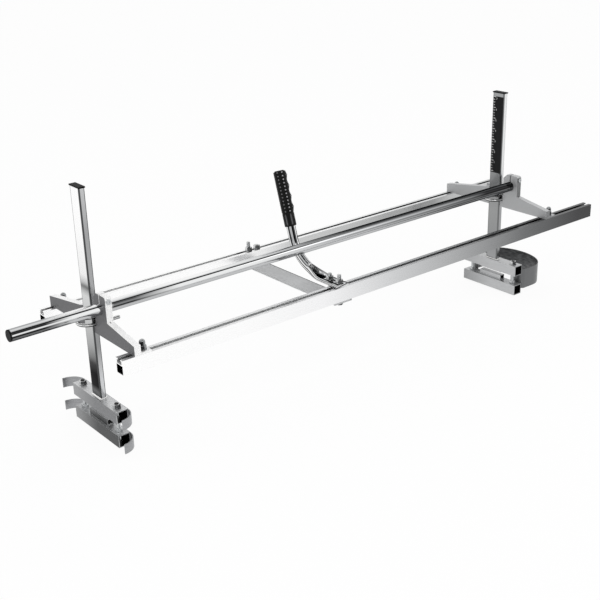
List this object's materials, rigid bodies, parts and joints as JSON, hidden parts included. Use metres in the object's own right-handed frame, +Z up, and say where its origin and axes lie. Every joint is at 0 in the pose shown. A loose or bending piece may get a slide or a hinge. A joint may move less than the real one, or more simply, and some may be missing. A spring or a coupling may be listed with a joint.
{
  "type": "chainsaw mill",
  "caption": "Ladder-type chainsaw mill with slotted rails, sliding brackets, height posts with bar clamps, a nose guard, a thrust tube and a leaning handle.",
  "frame": {"origin": "middle of the bounding box, level with the lowest bolt heads under the clamps", "axes": "+X along the rails towards the nose guard, +Y from the front rail (handle foot) to the rear rail, +Z up"},
  "size_m": [1.451, 0.316, 0.491],
  "materials": {
    "rail": "drawn aluminium, satin",
    "dark_casting": "grey coating",
    "light_casting": "light grey coating",
    "dark_clamp": "plain steel, grey",
    "light_clamp": "plain steel, light grey",
    "post": "brushed steel",
    "chrome": "bright plated",
    "zinc": "zinc plated",
    "strip": "bent sheet strip",
    "brace": "flat steel bar",
    "black_plastic": "moulded",
    "black_screw": "blackened",
    "rubber": "soft rubber",
    "scale": "printed strip"
  },
  "bodies": {
    "rail_frame": {"front_rail": "rail", "rear_rail": "rail", "centre_brace": "brace", "handle_tube": "chrome", "handle_grip": "rubber", "handle_front_bolt": "zinc", "handle_rear_bolt": "zinc", "brace_left_bolt": "zinc", "brace_right_bolt": "zinc"},
    "push_tube": {"thrust_tube": "chrome", "thrust_tube_cap": "black_plastic"},
    "left_carriage": {"left_bracket": "dark_casting", "left_pinch_bolt": "zinc", "left_set_screw": "black_screw", "left_front_rail_bolt": "zinc", "left_rear_rail_bolt": "zinc", "left_lower_loop": "zinc", "left_lower_front_loop_nut": "zinc", "left_lower_rear_loop_nut": "zinc", "left_upper_loop": "zinc", "left_upper_front_loop_nut": "zinc", "left_upper_rear_loop_nut": "zinc"},
    "left_column": {"left_post": "post", "left_post_cap": "black_plastic", "left_upper_jaw": "dark_clamp", "left_front_clamp_nut": "zinc", "left_rear_clamp_nut": "zinc", "upper_skid": "strip"},
    "left_lower_clamp": {"left_lower_jaw": "dark_clamp", "left_front_clamp_bolt": "zinc", "left_rear_clamp_bolt": "zinc", "lower_skid": "strip"},
    "right_carriage": {"right_bracket": "light_casting", "right_pinch_bolt": "zinc", "right_set_screw": "black_screw", "right_front_rail_bolt": "zinc", "right_rear_rail_bolt": "zinc", "right_lower_loop": "zinc", "right_lower_front_loop_nut": "zinc", "right_lower_rear_loop_nut": "zinc", "right_upper_loop": "zinc", "right_upper_front_loop_nut": "zinc", "right_upper_rear_loop_nut": "zinc"},
    "right_column": {"right_post": "post", "right_post_cap": "black_plastic", "right_upper_jaw": "light_clamp", "right_front_clamp_nut": "zinc", "right_rear_clamp_nut": "zinc", "nose_guard": "strip", "right_post_scale": "scale"},
    "right_lower_clamp": {"right_lower_jaw": "light_clamp", "right_front_clamp_bolt": "zinc", "right_rear_clamp_bolt": "zinc"}
  },
  "joints": [
    {"name": "tube_slide", "type": "slide", "parent": "left_carriage", "child": "push_tube", "axis": [1, 0, 0], "range_m": [0, 0.14]},
    {"name": "left_carriage_slide", "type": "slide", "parent": "rail_frame", "child": "left_carriage", "axis": [1, 0, 0], "range_m": [-0.008, 0.36]},
    {"name": "right_carriage_slide", "type": "slide", "parent": "rail_frame", "child": "right_carriage", "axis": [1, 0, 0], "range_m": [-0.55, 0.008]},
    {"name": "left_column_slide", "type": "slide", "parent": "left_carriage", "child": "left_column", "axis": [0, 0, 1], "range_m": [-0.2, 0.1]},
    {"name": "right_column_slide", "type": "slide", "parent": "right_carriage", "child": "right_column", "axis": [0, 0, 1], "range_m": [-0.2, 0.1]},
    {"name": "left_clamp_slide", "type": "slide", "parent": "left_column", "child": "left_lower_clamp", "axis": [0, 0, 1], "range_m": [-0.006, 0.006]},
    {"name": "right_clamp_slide", "type": "slide", "parent": "right_column", "child": "right_lower_clamp", "axis": [0, 0, 1], "range_m": [-0.006, 0.006]}
  ]
}
